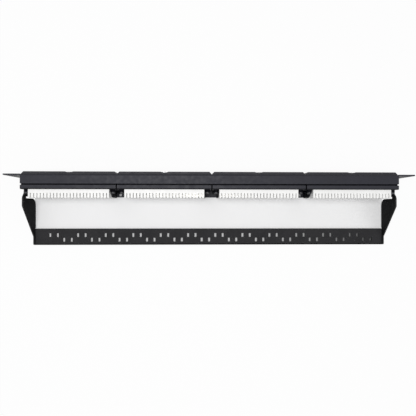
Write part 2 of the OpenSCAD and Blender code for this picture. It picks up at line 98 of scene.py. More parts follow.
TOUCH = 0.01 * MM           # how near a point counts as lying on a plane
CREASE = 40                 # degrees; a sharper edge is a corner
UPRIGHT = Matrix.Rotation(radians(90), 4, "X")
TO_REAR = Matrix.Rotation(radians(-90), 4, "X")

# Wire colours on the guide, the common white first
GUIDE_INKS = (("white", (0.8, 0.8, 0.78)), ("blue", (0.03, 0.1, 0.42)),
              ("orange", (0.72, 0.19, 0.02)), ("green", (0.03, 0.28, 0.06)),
              ("brown", (0.13, 0.055, 0.025)))

# Stage: size, place and aim of each lamp in metres, and the floor's shading
OVERHEAD_LAMP = ((0.5, 0.5), (0.16, 0.05, 1.2), (0.16, 0.05, 0.0))
SIDE_LAMP = ((0.6, 0.5), (-0.9, 0.25, 0.75), (0.0, 0.04, 0.0))
FLOOR_SIZE = 6
SHADE_REACH = 6.0 * MM      # how near a surface darkens the floor
SHADE_FRONT = 5.0 * MM      # where the shaded floor begins, under the housings
SHADE_REAR = 2.0 * MM       # how far it stops short of the bar's rear edge
SHADE_ALONG = (0.9, 0.2)    # shares of the panel's left end between which the shade fades


def colour(name, default, description):
    """A colour property in scene-linear values."""
    return FloatVectorProperty(name=name, description=description, default=default,
                               subtype="COLOR", size=3, min=0.0, max=1.0)


def length(name, default, description):
    """A length property, given here in millimetres."""
    return FloatProperty(name=name, description=description, default=default * MM, unit="LENGTH",
                         precision=5)


class PatchPanelColours(PropertyGroup):
    """Colours of the finishes."""

    steel: colour("Frame", (0.0094, 0.0096, 0.0162), "Powder coat of the folded frame")
    bar: colour("Cable bar", (0.0305, 0.0302, 0.0322), "Matt powder coat of the cable bar")
    bezel: colour("Bezels", (0.0180, 0.0182, 0.0238), "Moulded plastic of the front bezels")
    housing: colour("Housings", (0.0106, 0.0108, 0.0176), "Moulded plastic of the rear housings")
    shell: colour("Port shells", (0.018, 0.018, 0.020), "Plastic inside the ports")
    strip: colour("Terminal strips", (0.94, 0.937, 0.928), "White plastic of the terminal strips")
    board: colour("Boards", (0.012, 0.085, 0.036), "Solder mask of the circuit boards")
    card: colour("Label cards", (0.84, 0.83, 0.79), "Paper behind the clear covers")
    print_white: colour("Port numbers", (0.72, 0.72, 0.70), "Printed numbers on the bezels")
    ink: colour("Card ruling", (0.07, 0.075, 0.09), "Ruled lines on the label cards")
    cover: colour("Label covers", (0.95, 0.97, 0.98), "Clear plastic over the label cards")
    tin: colour("Terminal clips", (0.70, 0.68, 0.63), "Tin plate on the clips and tails")
    gold: colour("Port contacts", (0.86, 0.60, 0.23), "Gold plate on the sprung contacts")
    screw: colour("Screws", (0.07, 0.07, 0.075), "Dark zinc plate on the screws")


class PatchPanelSizes(PropertyGroup):
    """Sizes of the softened edges and of the small pieces."""

    steel_edge: length("Steel edge", 0.2, "Rounding of the steel edges under the paint")
    bar_edge: length("Bar edge", 1.3, "Chamfer along the rear edge of the cable bar")
    bezel_edge: length("Bezel edge", 0.12, "Rounding of the bezel edges")
    housing_edge: length("Housing edge", 0.2, "Rounding of the rear housing edges")
    rim_edge: length("Rim edge", 1.0, "Chamfer along the rear of the housing rims")
    strip_edge: length("Strip edge", 0.16, "Rounding of the terminal strip edges")
    cover_edge: length("Cover edge", 0.15, "Rounding of the label cover edges")
    number_height: length("Number height", 3.2, "Height of the printed port numbers")
    number_z: length("Number level", 3.8, "Height of the numbers above the middle of the panel")
    print_depth: length("Print", 0.02, "Thickness of printed numbers and lines")
    rule_width: length("Rule width", 0.3, "Width of the lines on the label cards")
    solder_d: length("Solder joint", 0.9, "Diameter of a solder joint on its board")
    solder_h: length("Solder height", 0.5, "Height of a solder joint")
    guide_height: length("Colour guide", 2.2, "Height of the wire colour guide on a board")
    guide_z: length("Guide level", 0.2, "Height of the colour guide above the middle of the panel")


class PatchPanelStage(PropertyGroup):
    """Camera, floor and lamps."""

    lens: FloatProperty(name="Lens", description="Focal length in millimetres on a 36 mm sensor",
                        default=34.56, subtype="DISTANCE_CAMERA")
    eye: FloatVectorProperty(name="Camera place", description="Place of the camera", size=3,
                             default=(0.0181, 0.0403, 0.4873), subtype="TRANSLATION")
    turn: FloatVectorProperty(name="Camera turn", description="Turn of the camera", size=3,
                              default=(radians(0.278), radians(-1.659), radians(180.035)),
                              subtype="EULER")
    floor: colour("Floor", (0.90, 0.90, 0.905), "Pale floor under the panel")
    glow_outside: FloatProperty(name="White around", default=0.92, min=0.0, max=1.0,
                                description="Share of plain white in the floor around the panel")
    glow_inside: FloatProperty(name="White inside", default=0.16, min=0.0, max=1.0,
                               description="Share of plain white in the floor the bar encloses")
    dome: FloatProperty(name="Dome", default=0.38, min=0.0,
                        description="Strength of the even light from all around")
    key: FloatProperty(name="Overhead lamp", default=8.2, min=0.0, unit="POWER",
                       description="Power of the soft lamp over the panel")
    side: FloatProperty(name="Side lamp", default=1.3, min=0.0, unit="POWER",
                        description="Power of the soft lamp at the side")


def deselect():
    """Leave object mode with nothing selected."""
    if bpy.context.object and bpy.context.object.mode != "OBJECT":
        bpy.ops.object.mode_set(mode="OBJECT")
    bpy.ops.object.select_all(action="DESELECT")


def pick(*objects):
    """Select only these objects, the first one active."""
    deselect()
    for obj in objects:
        obj.select_set(True)
    bpy.context.view_layer.objects.active = objects[0]


@contextmanager
def editing(obj, kind="FACE"):
    """Edit one mesh, with everything in it selected at the start."""
    pick(obj)
    bpy.ops.object.mode_set(mode="EDIT")
    bpy.ops.mesh.select_mode(type=kind)
    bpy.ops.mesh.select_all(action="SELECT")
    yield
    bpy.ops.object.mode_set(mode="OBJECT")


def choose(obj, test, kind="faces"):
    """Select the faces, edges or vertices of the mesh in edit mode that pass the test."""
    bpy.ops.mesh.select_all(action="DESELECT")
    mesh = bmesh.from_edit_mesh(obj.data)
    mesh.normal_update()
    for item in getattr(mesh, kind):
        if test(item):
            item.select_set(True)
    mesh.select_flush_mode()
    bmesh.update_edit_mesh(obj.data)


def apply_modifier(obj, kind, **settings):
    """Add a modifier with these settings and apply it."""
    pick(obj)
    modifier = obj.modifiers.new(kind.lower(), kind)
    for key, value in settings.items():
        setattr(modifier, key, value)
    bpy.ops.object.modifier_apply(modifier=modifier.name)


def extrude(step):
    """Extrude the selected faces of the mesh in edit mode by a step."""
    bpy.ops.mesh.extrude_region_move(TRANSFORM_OT_translate={"value": step})


def settle(obj, matrix=None):
    """Put a turn and place into the mesh, so that the object sits at the origin."""
    pick(obj)
    if matrix is not None:
        obj.matrix_world = matrix
    bpy.ops.object.transform_apply(location=True, rotation=True, scale=True)


def copied(obj, name, offset):
    """A copy with its own mesh, moved by the offset."""
    pick(obj)
    bpy.ops.object.duplicate(linked=False)
    twin = bpy.context.object
    twin.name = name
    settle(twin, Matrix.Translation(offset))
    return twin


def smooth(obj, angle=CREASE):
    """Shade smooth across edges under an angle in degrees, and keep the flats flat."""
    pick(obj)
    bpy.ops.object.shade_smooth_by_angle(angle=radians(angle))
    apply_modifier(obj, "WEIGHTED_NORMAL", keep_sharp=True, weight=60)


def dress(obj, *materials):
    """Give an object these materials and no others."""
    obj.data.materials.clear()
    for material in materials:
        obj.data.materials.append(material)


def outer_corner(edge):
    """Whether an edge is a sharp one that stands out."""
    return edge.is_manifold and edge.is_convex and edge.calc_face_angle() > radians(CREASE)


def softened(node, name, radius, body, slot, *materials, chamfer_first=None):
    """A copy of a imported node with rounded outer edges, which stands for that node.

    The first material covers it and the last one its rounded edges. chamfer_first is an edge
    test and a width: the edges that pass get a chamfer before the rounding.
    """
    obj = bpy.data.objects.new(name, NODES[node].data.copy())
    bpy.context.scene.collection.objects.link(obj)
    dress(obj, *materials)
    for polygon in obj.data.polygons:
        polygon.material_index = 0
    with editing(obj, "VERT"):
        bpy.ops.mesh.remove_doubles(threshold=1e-6)
        bpy.ops.mesh.dissolve_limited(angle_limit=radians(0.5))
        bpy.ops.mesh.select_mode(type="EDGE")
        if chamfer_first:
            test, wide = chamfer_first
            choose(obj, test, "edges")
            bpy.ops.mesh.bevel(offset=wide, segments=1, loop_slide=False)
        choose(obj, outer_corner, "edges")
        bpy.ops.mesh.bevel(offset=radius, segments=2, loop_slide=False, clamp_overlap=False,
                           material=len(materials) - 1)
    smooth(obj)
    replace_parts(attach(obj, body), node)
    return obj


def middle(node):
    """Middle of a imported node's box."""
    low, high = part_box(node)
    return (low + high) / 2


def scaled(rgb, factor):
    """A colour made lighter or darker."""
    return [min(1.0, c * factor) for c in rgb]


def joined(tree, operation, first, second):
    """Two sockets of a node tree joined by a math operation."""
    node = tree.nodes.new("ShaderNodeMath")
    node.operation = operation
    tree.links.new(first, node.inputs[0])
    tree.links.new(second, node.inputs[1])
    return node.outputs[0]


class Finish:
    """A material under construction: its node tree, shader and place on the object."""

    def __init__(self, name, **sockets):
        """Start a material whose shader has these inputs, with _ for a space in their names."""
        self.material = bpy.data.materials.new(name)
        self.material.use_nodes = True
        self.nodes = self.material.node_tree.nodes
        self.links = self.material.node_tree.links
        self.shader = next(n for n in self.nodes if n.type == "BSDF_PRINCIPLED")
        self.place = self.nodes.new("ShaderNodeTexCoord").outputs["Object"]
        for key, value in sockets.items():
            self.shader.inputs[key.replace("_", " ")].default_value = value

    def node(self, kind, inputs=None, **settings):
        """Add a node, set its options, and set or link its inputs."""
        node = self.nodes.new(kind)
        for key, value in settings.items():
            setattr(node, key, value)
        for key, value in (inputs or {}).items():
            if isinstance(value, bpy.types.NodeSocket):
                self.links.new(value, node.inputs[key])
            else:
                node.inputs[key].default_value = value
        return node

    def mapped(self, scale=(1, 1, 1), turn=(0, 0, 0)):
        """Object coordinates, stretched and turned."""
        inputs = {"Vector": self.place, "Scale": scale, "Rotation": turn}
        return self.node("ShaderNodeMapping", inputs).outputs[0]

    def axis(self, vector, index):
        """One component of a vector."""
        return self.node("ShaderNodeSeparateXYZ", {0: vector}).outputs[index]

    def math(self, operation, first, second):
        """Two values joined by a math operation."""
        return joined(self.material.node_tree, operation, first, second)

    def noise(self, scale, detail=3.0, place=None):
        """Soft noise between about 0.3 and 0.7."""
        inputs = {"Vector": place or self.place, "Scale": scale, "Detail": detail}
        return self.node("ShaderNodeTexNoise", inputs).outputs["Fac"]

    def spread(self, value, low, high, start=0.3, end=0.7):
        """A value stretched to a new range."""
        inputs = {"Value": value, "From Min": start, "From Max": end, "To Min": low, "To Max": high}
        return self.node("ShaderNodeMapRange", inputs, clamp=True).outputs[0]

    def blend(self, factor, first, second):
        """Two colours mixed by a factor."""
        node = self.node("ShaderNodeMix", data_type="RGBA")
        sockets = [node.inputs[0], node.inputs[6], node.inputs[7]]
        for socket, value in zip(sockets, [factor, first, second]):
            if isinstance(value, bpy.types.NodeSocket):
                self.links.new(value, socket)
            else:
                socket.default_value = (*value[:3], 1.0)
        return node.outputs[2]

    def dusted(self, base, rgb, side_shade, above=None):
        """Painted shade: the faces that look up keep the full colour, and the others take a darker
        colour that stands for shade.

        With a height given, the full colour and the sheen stay above it, and below it the faces are
        painted in shade.
        """
        normal = self.node("ShaderNodeNewGeometry").outputs["Normal"]
        # Painted light: 1 on faces that look up, which keep the lit colour; other faces are painted
        # darker as shade.
        lit_share = self.spread(self.axis(normal, 2), 0.0, 1.0, 0.72, 0.97)
        if above is not None:
            # Painted shade below the given height, with a lower specular level there.
            high = self.spread(self.axis(self.place, 2), 0.0, 1.0, above - 0.5 * MM, above)
            lit_share = self.math("MULTIPLY", lit_share, high)
            sheen = self.spread(high, 0.05, 0.3, 0.0, 1.0)
            self.links.new(sheen, self.shader.inputs["Specular IOR Level"])
        return self.blend(lit_share, scaled(rgb, side_shade), base)

    def colour(self, socket):
        """Link the base colour."""
        self.links.new(socket, self.shader.inputs["Base Color"])
        return self

    def roughness(self, socket):
        """Link the roughness."""
        self.links.new(socket, self.shader.inputs["Roughness"])
        return self

    def bump(self, height, distance, strength=1.0):
        """Raise the surface by a height pattern, the distance in millimetres."""
        inputs = {"Height": height, "Distance": distance * MM, "Strength": strength}
        node = self.node("ShaderNodeBump", inputs)
        self.links.new(node.outputs[0], self.shader.inputs["Normal"])
        return self


def powder_coat(name, rgb, side_shade=0.6, gloss=0.3, rough=(0.46, 0.6)):
    """Fine orange-peel paint with faint cloudiness, and painted shade on the faces that don't look
    up.
    """
    coat = Finish(name, Specular_IOR_Level=gloss)
    cloud = coat.spread(coat.noise(45.0, 4.0), 0.0, 1.0)
    speck = coat.spread(coat.noise(2600.0, 2.0), 0.0, 1.0)
    base = coat.blend(cloud, scaled(rgb, 0.88), scaled(rgb, 1.12))
    base = coat.blend(coat.spread(speck, 0.0, 0.35, 0.6, 1.0), base, scaled(rgb, 1.5))
    # Painted shade: faces that don't look up take a darker colour.
    coat.colour(coat.dusted(base, rgb, side_shade))
    coat.roughness(coat.spread(coat.noise(220.0), *rough))
    return coat.bump(coat.noise(1500.0, 2.0), 0.05, 0.35).material


def rubbed_coat(name, rgb):
    """Paint polished and thinned along an edge."""
    coat = Finish(name, Specular_IOR_Level=0.4)
    wear = coat.spread(coat.noise(380.0, 5.0), 0.0, 1.0, 0.52, 0.68)
    coat.colour(coat.blend(wear, scaled(rgb, 1.35), scaled(rgb, 3.2)))
    coat.roughness(coat.spread(wear, 0.5, 0.33, 0.0, 1.0))
    return coat.bump(coat.noise(900.0, 3.0), 0.03, 0.3).material


def moulded(name, rgb, rough=(0.5, 0.64), grain=2200.0, side_shade=0.6, above=None):
    """Plastic with a fine eroded grain from the mould, and painted shade on the faces that don't
    look up.
    """
    plastic = Finish(name, Specular_IOR_Level=0.3)
    cloud = plastic.spread(plastic.noise(60.0, 4.0), 0.0, 1.0)
    base = plastic.blend(cloud, scaled(rgb, 0.9), scaled(rgb, 1.1))
    # Painted shade: faces that don't look up take a darker colour, and with a height given, so does
    # everything below it.
    plastic.colour(plastic.dusted(base, rgb, side_shade, above))
    plastic.roughness(plastic.spread(plastic.noise(150.0), *rough))
    inputs = {"Vector": plastic.place, "Scale": grain}
    cells = plastic.node("ShaderNodeTexVoronoi", inputs).outputs["Distance"]
    return plastic.bump(cells, 0.04, 0.3).material


def polished_edge(name, rgb, factor=1.5, rough=0.38, gloss=0.45):
    """Plastic along an edge that handling has polished."""
    plastic = Finish(name, Specular_IOR_Level=gloss)
    rub = plastic.spread(plastic.noise(300.0, 4.0), 0.0, 1.0)
    plastic.colour(plastic.blend(rub, rgb, scaled(rgb, factor)))
    plastic.roughness(plastic.spread(rub, rough + 0.12, rough, 0.0, 1.0))
    return plastic.bump(plastic.noise(1200.0, 2.0), 0.02, 0.3).material


def terminal_white(name, rgb):
    """White engineering plastic, a little warm and uneven."""
    plastic = Finish(name, Specular_IOR_Level=0.4)
    cloud = plastic.spread(plastic.noise(90.0, 4.0), 0.0, 1.0)
    plastic.colour(plastic.blend(cloud, scaled(rgb, 0.96), scaled(rgb, 1.02)))
    plastic.roughness(plastic.spread(plastic.noise(260.0), 0.4, 0.52))
    return plastic.bump(plastic.noise(1800.0, 2.0), 0.02, 0.3).material


def solder_mask(name, rgb):
    """Green lacquer over copper tracks that run across the board."""
    mask = Finish(name, Specular_IOR_Level=0.5)
    flat = mask.mapped(turn=(radians(-90), 0, 0))
    inputs = {"Vector": flat, "Scale": 1.0, "Mortar Size": 0.18 * MM, "Brick Width": 7.62 * MM,
              "Row Height": 1.27 * MM, "Mortar Smooth": 0.2}
    tracks = mask.node("ShaderNodeTexBrick", inputs).outputs["Fac"]
    cloud = mask.spread(mask.noise(120.0), 0.0, 1.0)
    base = mask.blend(cloud, scaled(rgb, 0.85), scaled(rgb, 1.1))
    mask.colour(mask.blend(tracks, base, scaled(rgb, 1.9)))
    mask.roughness(mask.spread(mask.noise(300.0), 0.22, 0.34))
    return mask.bump(tracks, 0.035, 0.6).material


def plated(name, rgb, rough=(0.22, 0.38), streak=(40.0, 900.0, 900.0)):
    """Plated metal with fine streaks from drawing and stamping."""
    metal = Finish(name, Metallic=1.0)
    streaks = metal.noise(1.0, 3.0, metal.mapped(scale=streak))
    dull = metal.spread(metal.noise(350.0, 4.0), 0.0, 1.0)
    metal.colour(metal.blend(dull, rgb, scaled(rgb, 0.78)))
    metal.roughness(metal.spread(streaks, *rough))
    return metal.bump(streaks, 0.01, 0.3).material


def clear_plastic(name, rgb):
    """Clear moulded plastic with the faintest ripple and a few fine scuffs."""
    clear = Finish(name, Transmission_Weight=1.0, IOR=1.49, Base_Color=(*rgb, 1.0))
    scuffs = clear.noise(1.0, 4.0, clear.mapped(scale=(60.0, 400.0, 1500.0)))
    clear.roughness(clear.spread(scuffs, 0.02, 0.09, 0.45, 0.75))
    return clear.bump(clear.noise(70.0, 2.0), 0.02, 0.15).material


def card_paper(name, rgb):
    """Uncoated card with short fibres."""
    paper = Finish(name, Specular_IOR_Level=0.2)
    fibres = paper.noise(1.0, 5.0, paper.mapped(scale=(500.0, 500.0, 1600.0)))
    paper.colour(paper.blend(paper.spread(fibres, 0.0, 1.0), scaled(rgb, 0.95), scaled(rgb, 1.03)))
    paper.roughness(paper.spread(fibres, 0.8, 0.92))
    return paper.bump(fibres, 0.02, 0.4).material


def printed(name, rgb):
    """Screen print with a slightly uneven film of ink."""
    film = Finish(name, Specular_IOR_Level=0.3)
    thin = film.spread(film.noise(1400.0, 4.0), 0.0, 1.0, 0.35, 0.65)
    film.colour(film.blend(thin, scaled(rgb, 0.9), scaled(rgb, 1.06)))
    film.roughness(film.spread(thin, 0.5, 0.62, 0.0, 1.0))
    return film.bump(thin, 0.005, 0.3).material


class PATCHPANEL_OT_steel(Operator):
    """Dress the folded frame and the cable bar in powder coat with softened, rubbed edges, those of
    the bar also painted darker as shade
    """
    bl_idname = "patchpanel.steel"
    bl_label = "Frame and cable bar"

    def execute(self, context):
        colours = context.scene.patchpanel_colours
        sizes = context.scene.patchpanel_sizes
        edge = sizes.steel_edge
        paint = powder_coat("black_powder_coat", colours.steel)
        worn = rubbed_coat("rubbed_powder_coat", colours.steel)
        softened("panel_frame", "folded_frame", edge, BODY, "black_steel", paint, worn)
        # Painted shade: the bar's faces that don't look up, such as the arms, take a much darker
        # colour.
        matt = powder_coat("matt_powder_coat", colours.bar, side_shade=0.28, gloss=0.06,
                           rough=(0.7, 0.82))
        # Painted shade: the bar's rounded edges take the rubbed pattern over a colour five times
        # darker than the bar, as shade along the edges.
        worn_and_shaded_matt = rubbed_coat("rubbed_matt_coat", scaled(colours.bar, 0.2))
        low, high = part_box("cable_bar")
        top = low.z + SHEET

        def top_of_rear_edge(e):
            return all(v.co.y > high.y - TOUCH and abs(v.co.z - top) < TOUCH for v in e.verts)

        softened("cable_bar", "bent_cable_bar", edge, "cable_bar", "black_steel", matt, worn_and_shaded_matt,
                 chamfer_first=(top_of_rear_edge, sizes.bar_edge))
        return {"FINISHED"}


class PATCHPANEL_OT_bezels(Operator):
    """Dress the four front bezels in moulded plastic with softened edges"""
    bl_idname = "patchpanel.bezels"
    bl_label = "Bezels"

    def execute(self, context):
        rgb = context.scene.patchpanel_colours.bezel
        edge = context.scene.patchpanel_sizes.bezel_edge
        plastic = moulded("bezel_plastic", rgb)
        rim = polished_edge("bezel_edge", rgb)
        for m in MODULES:
            softened(f"bezel_{m}", f"front_bezel_{m}", edge, BODY, "bezel_plastic", plastic, rim)
        return {"FINISHED"}


class PATCHPANEL_OT_housings(Operator):
    """Dress the four rear housings in moulded plastic with softened edges"""
    bl_idname = "patchpanel.housings"
    bl_label = "Rear housings"

    def execute(self, context):
        rgb = context.scene.patchpanel_colours.housing
        sizes = context.scene.patchpanel_sizes
        rim_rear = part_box("circuit_board_1")[1].y + REAR_WALL
        rim_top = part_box("rear_housing_1")[1].z
        # Painted shade: below the rims, and on faces that don't look up, the housing takes a darker
        # colour, so the groove behind the flange reads dark.
        plastic = moulded("housing_plastic", rgb, rough=(0.46, 0.6), grain=1900.0, side_shade=0.3,
                          above=rim_top - RIM_SHADE_DEPTH)
        # Painted shade: the rounded edges take a colour well under the housing's own, with the
        # polish pattern over it.
        rim = polished_edge("housing_edge", scaled(rgb, 0.4), factor=1.3, rough=0.6, gloss=0.15)

        def rear_of_rim(e):
            return all(abs(v.co.y - rim_rear) < TOUCH and v.co.z > rim_top - TOUCH for v in e.verts)

        for m in MODULES:
            softened(f"rear_housing_{m}", f"flared_housing_{m}", sizes.housing_edge, BODY,
                     "housing_plastic", plastic, rim, chamfer_first=(rear_of_rim, sizes.rim_edge))
        return {"FINISHED"}


class PATCHPANEL_OT_strips(Operator):
    """Dress the eight terminal strips in white plastic and their clips in tin plate"""
    bl_idname = "patchpanel.strips"
    bl_label = "Terminal strips"

    def execute(self, context):
        colours = context.scene.patchpanel_colours
        edge = context.scene.patchpanel_sizes.strip_edge
        plastic = terminal_white("terminal_white", colours.strip)
        rim = polished_edge("terminal_edge", colours.strip, factor=1.03, rough=0.36)
        tin = plated("tin_plate", colours.tin)
        for m in MODULES:
            for row in ("upper", "lower"):
                softened(f"{row}_strip_{m}", f"{row}_terminals_{m}", edge, BODY, "strip_white",
                         plastic, rim)
            dress(NODES[f"board_contacts_{m}"], tin)
        return {"FINISHED"}


class PATCHPANEL_OT_boards(Operator):
    """Dress the boards, and add solder joints and a wire colour guide to each"""
    bl_idname = "patchpanel.boards"
    bl_label = "Circuit boards"

    def solder_joint(self, sizes):
        """One small cone of solder that swells at its foot, pointing along +Y."""
        bpy.ops.mesh.primitive_cone_add(vertices=8, radius1=sizes.solder_d / 2,
                                        radius2=sizes.solder_d / 4, depth=sizes.solder_h / 2,
                                        end_fill_type="NGON")
        joint = bpy.context.object
        with editing(joint):
            choose(joint, lambda f: f.normal.z > 0.9)
            for rise, narrow in ((sizes.solder_h / 3, 0.6), (sizes.solder_h / 6, 0.45)):
                extrude((0, 0, rise))
                bpy.ops.transform.resize(value=(narrow, narrow, 1))
        settle(joint, TO_REAR)
        smooth(joint, 60)
        return joint

    def colour_guide(self, sizes, middle_x, rear, name, inks):
        """A printed strip whose cells show the colour of each wire, two columns to a slot."""
        columns = PORTS_PER_MODULE * WIRES
        bpy.ops.mesh.primitive_grid_add(x_subdivisions=columns, y_subdivisions=2, size=1)
        guide = bpy.context.object
        guide.name = name
        dress(guide, *inks)
        with editing(guide):
            bpy.ops.transform.resize(value=(WIRE_PITCH * columns / 2, sizes.guide_height, 1))
            extrude((0, 0, GUIDE_DEPTH))
        upper_pairs, lower_pairs = (1, 2), (3, 4)
        for face in guide.data.polygons:
            column = int((face.center.x / WIRE_PITCH + columns / 4) * 2)
            pairs = upper_pairs if face.center.y > 0 else lower_pairs
            face.material_index = 0 if column % 4 == 0 else pairs[(column // 4) % 2]
        settle(guide, Matrix.Translation((middle_x, rear + GUIDE_DEPTH, sizes.guide_z)) @ UPRIGHT)
        return guide

    def execute(self, context):
        colours = context.scene.patchpanel_colours
        sizes = context.scene.patchpanel_sizes
        mask = solder_mask("green_solder_mask", colours.board)
        solder = plated("bright_solder", (0.66, 0.66, 0.67), rough=(0.2, 0.34),
                        streak=(300.0, 300.0, 300.0))
        inks = [printed(f"guide_{name}", rgb) for name, rgb in GUIDE_INKS]
        deselect()
        first = self.solder_joint(sizes)
        dress(first, solder)
        for count, pitch in ((WIRES, CONTACT_PITCH), (PORTS_PER_MODULE, PORT_PITCH)):
            apply_modifier(first, "ARRAY", count=count, use_relative_offset=False,
                           use_constant_offset=True, constant_offset_displace=(pitch, 0, 0))
        span = (WIRES - 1) * CONTACT_PITCH + (PORTS_PER_MODULE - 1) * PORT_PITCH
        for m in MODULES:
            board = f"circuit_board_{m}"
            dress(NODES[board], mask)
            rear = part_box(board)[1].y
            x = middle(board).x
            place = Vector((x - span / 2, rear + sizes.solder_h / 4, TAIL_Z))
            joints = copied(first, f"solder_joints_{m}", place)
            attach(joints, BODY)
            deselect()
            guide = self.colour_guide(sizes, x, rear, f"colour_guide_{m}", inks)
            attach(guide, BODY)
        bpy.data.objects.remove(first)
        return {"FINISHED"}


class PATCHPANEL_OT_ports(Operator):
    """Dress the port shells and the sprung contacts"""
    bl_idname = "patchpanel.ports"
    bl_label = "Ports"

    def execute(self, context):
        colours = context.scene.patchpanel_colours
        shell = moulded("port_shell_plastic", colours.shell, rough=(0.42, 0.55), grain=2600.0)
        gold = plated("gold_plate", colours.gold, rough=(0.16, 0.28), streak=(900.0, 60.0, 900.0))
        for m in MODULES:
            dress(NODES[f"jack_shells_{m}"], shell)
        for p in PORTS:
            dress(NODES[f"contacts_{p:02d}"], gold)
        return {"FINISHED"}


class PATCHPANEL_OT_numbers(Operator):
    """Print the numbers 1 to 24 over the ports"""
    bl_idname = "patchpanel.numbers"
    bl_label = "Port numbers"

    def number(self, port, sizes):
        """One printed number as a thin solid on the face of its bezel."""
        bpy.ops.object.text_add()
        text = bpy.context.object
        text.data.body = str(port)
        text.data.size = sizes.number_height / DIGIT_SHARE
        text.data.extrude = sizes.print_depth
        text.data.align_x = "CENTER"
        text.data.align_y = "CENTER"
        text.data.resolution_u = 4
        bpy.ops.object.convert(target="MESH")
        face_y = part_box("bezel_1")[0].y
        x = middle(f"contacts_{port:02d}").x
        settle(text, Matrix.Translation((x, face_y, sizes.number_z)) @ UPRIGHT)
        return text

    def execute(self, context):
        sizes = context.scene.patchpanel_sizes
        film = printed("number_print", context.scene.patchpanel_colours.print_white)
        for m in MODULES:
            last = m * PORTS_PER_MODULE
            numbers = []
            for port in range(last - PORTS_PER_MODULE + 1, last + 1):
                deselect()
                numbers.append(self.number(port, sizes))
            pick(*numbers)
            bpy.ops.object.join()
            row = bpy.context.object
            row.name = f"port_numbers_{m}"
            dress(row, film)
            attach(row, BODY)
        return {"FINISHED"}


class PATCHPANEL_OT_labels(Operator):
    """Dress the label cards and their clear covers, and rule the cards into cells"""
    bl_idname = "patchpanel.labels"
    bl_label = "Labels"

    def ruling(self, sizes, name, place, width, height):
        """Ruled lines round six cells, made from a grid whose cells are taken out."""
        bpy.ops.mesh.primitive_grid_add(x_subdivisions=PORTS_PER_MODULE, y_subdivisions=1, size=1)
        lines = bpy.context.object
        lines.name = name
        with editing(lines):
            bpy.ops.transform.resize(value=(width, height, 1))
            bpy.ops.mesh.inset(thickness=sizes.rule_width / 2, use_individual=True,
                               use_boundary=True)
            bpy.ops.mesh.delete(type="FACE")
            bpy.ops.mesh.select_all(action="SELECT")
            extrude((0, 0, sizes.print_depth))
        settle(lines, Matrix.Translation(place) @ UPRIGHT)
        return lines

    def execute(self, context):
        colours = context.scene.patchpanel_colours
        sizes = context.scene.patchpanel_sizes
        dress(NODES["label_cards"], card_paper("label_card", colours.card))
        ink = printed("ruling_ink", colours.ink)
        clear = clear_plastic("clear_cover", colours.cover)
        card_low, card_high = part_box("label_cards")
        cell = middle("contacts_02").x - middle("contacts_01").x
        for m in MODULES:
            cover = f"label_cover_{m}"
            softened(cover, f"clear_cover_{m}", sizes.cover_edge, cover, "clear_plastic", clear)
            deselect()
            place = Vector((middle(f"bezel_{m}").x, card_low.y, (card_low.z + card_high.z) / 2))
            height = (card_high.z - card_low.z) * RULED_SHARE
            lines = self.ruling(sizes, f"card_ruling_{m}", place, cell * PORTS_PER_MODULE, height)
            dress(lines, ink)
            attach(lines, BODY)
        return {"FINISHED"}


